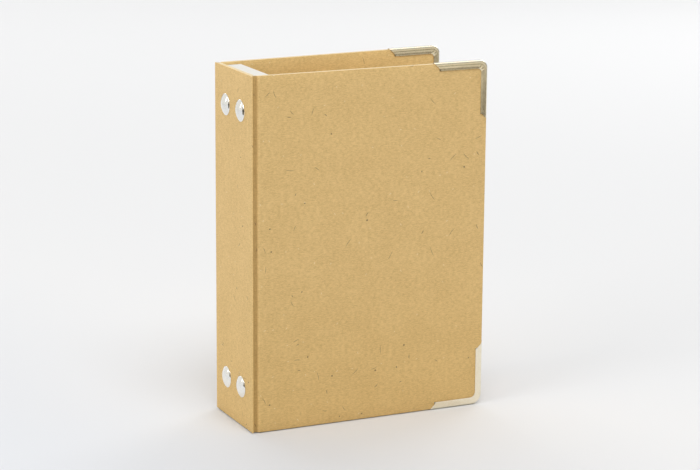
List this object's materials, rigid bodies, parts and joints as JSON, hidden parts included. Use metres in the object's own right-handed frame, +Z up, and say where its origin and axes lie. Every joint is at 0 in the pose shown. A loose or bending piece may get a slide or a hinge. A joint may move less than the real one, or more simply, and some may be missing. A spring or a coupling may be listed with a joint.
{
  "type": "ring-bound scrapbook album",
  "caption": "Upright kraft-board scrapbook album with creased cover hinges, metal corner protectors, domed spine rivets and a lever-opened ring mechanism.",
  "frame": {"origin": "centre of the album's bounding box on the surface it stands on", "axes": "+X from the spine to the fore-edge, front cover on the -Y side, +Z up along the spine"},
  "size_m": [0.1224, 0.0526, 0.1689],
  "materials": {
    "kraft_board": "matte kraft liner with sparse fibre flecks, cream core at the cut edges",
    "white_block": "matte white",
    "nickel_trim": "polished nickel plate",
    "nickel_ring": "polished nickel plate",
    "mechanism_steel": "satin nickel plate"
  },
  "bodies": {
    "spine": {"spine_panel": "kraft_board", "front_crease": "kraft_board", "back_crease": "kraft_board", "spine_riser": "white_block", "rivet_top_front": "nickel_trim", "rivet_top_back": "nickel_trim", "rivet_bottom_front": "nickel_trim", "rivet_bottom_back": "nickel_trim", "base_plate": "mechanism_steel", "mechanism_cover": "mechanism_steel", "lever_pin_top": "mechanism_steel", "lever_pin_bottom": "mechanism_steel"},
    "front_cover": {"front_cover": "kraft_board", "corner_front_top": "nickel_trim", "corner_front_bottom": "nickel_trim"},
    "back_cover": {"back_cover": "kraft_board", "corner_back_top": "nickel_trim", "corner_back_bottom": "nickel_trim"},
    "front_blade": {"blade_front": "mechanism_steel", "ring_front_top": "nickel_ring", "ring_front_bottom": "nickel_ring"},
    "back_blade": {"blade_back": "mechanism_steel", "ring_back_top": "nickel_ring", "ring_back_bottom": "nickel_ring"},
    "lever_top": {"lever_top": "mechanism_steel"},
    "lever_bottom": {"lever_bottom": "mechanism_steel"}
  },
  "joints": [
    {"name": "front_cover_hinge", "type": "hinge", "parent": "spine", "child": "front_cover", "pos_m": [-0.05777, -0.02462, 0.08445], "axis": [0, 0, -1], "range_deg": [0, 180], "deforming": ["front_crease"]},
    {"name": "back_cover_hinge", "type": "hinge", "parent": "spine", "child": "back_cover", "pos_m": [-0.05777, 0.01778, 0.08445], "axis": [0, 0, 1], "range_deg": [-3.3, 176.7], "deforming": ["back_crease"]},
    {"name": "rings_open", "type": "hinge", "parent": "spine", "child": "front_blade", "pos_m": [-0.04387, -0.01492, 0.08505], "axis": [0, 0, -1], "range_deg": [0, 12]},
    {"name": "back_rings", "type": "hinge", "parent": "spine", "child": "back_blade", "pos_m": [-0.04387, 0.00808, 0.08505], "axis": [0, 0, 1], "range_deg": [0, 12]},
    {"name": "lever_top_turn", "type": "hinge", "parent": "spine", "child": "lever_top", "pos_m": [-0.04387, -0.00342, 0.15605], "axis": [0, -1, 0], "range_deg": [0, 30]},
    {"name": "lever_bottom_turn", "type": "hinge", "parent": "spine", "child": "lever_bottom", "pos_m": [-0.04387, -0.00342, 0.01405], "axis": [0, 1, 0], "range_deg": [0, 30]}
  ],
  "couplings": [
    {"joint": "back_rings", "follows": "rings_open", "ratio": 1},
    {"joint": "lever_top_turn", "follows": "rings_open", "ratio": 2.5},
    {"joint": "lever_bottom_turn", "follows": "rings_open", "ratio": 2.5}
  ]
}
